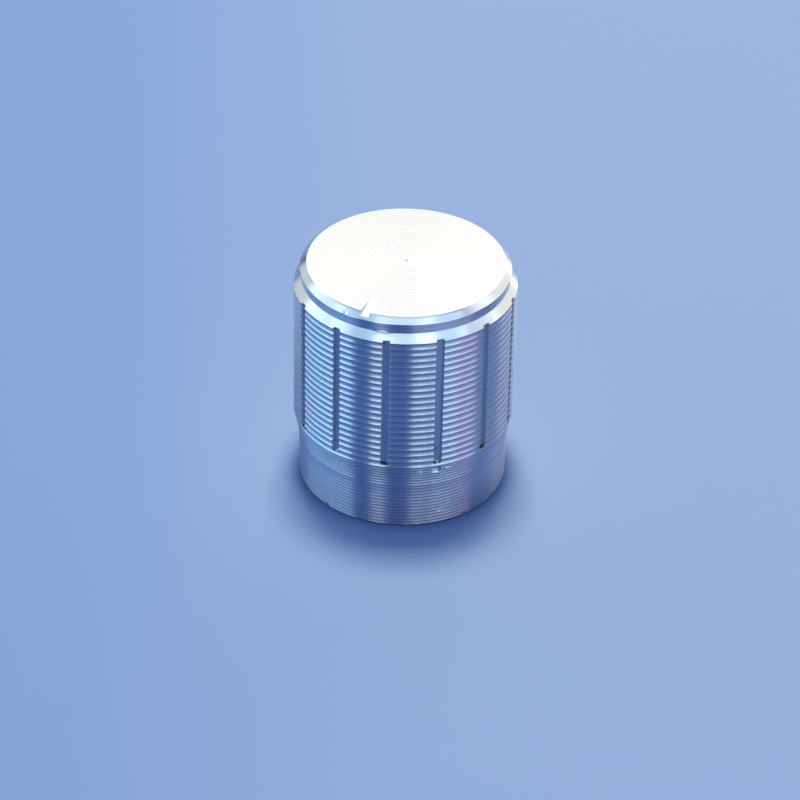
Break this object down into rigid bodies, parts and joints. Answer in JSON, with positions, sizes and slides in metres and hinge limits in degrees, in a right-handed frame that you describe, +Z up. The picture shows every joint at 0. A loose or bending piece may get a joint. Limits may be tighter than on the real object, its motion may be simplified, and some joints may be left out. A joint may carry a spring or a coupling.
{
  "type": "potentiometer knob",
  "caption": "Turned aluminium control knob with a ridged, slotted grip, a pointer notch in its top edge and a toothed push-on socket for a potentiometer shaft.",
  "frame": {"origin": "middle of the rim that the knob stands on", "axes": "+Z up the turning axis towards the closed top, -Y towards the pointer notch"},
  "size_m": [0.015, 0.015, 0.0167],
  "materials": {
    "shell": "bare turned metal with fine tool marks",
    "insert": "moulded, off-white"
  },
  "bodies": {
    "root": {"knob_shell": "shell", "shaft_insert": "insert"}
  },
  "joints": []
}
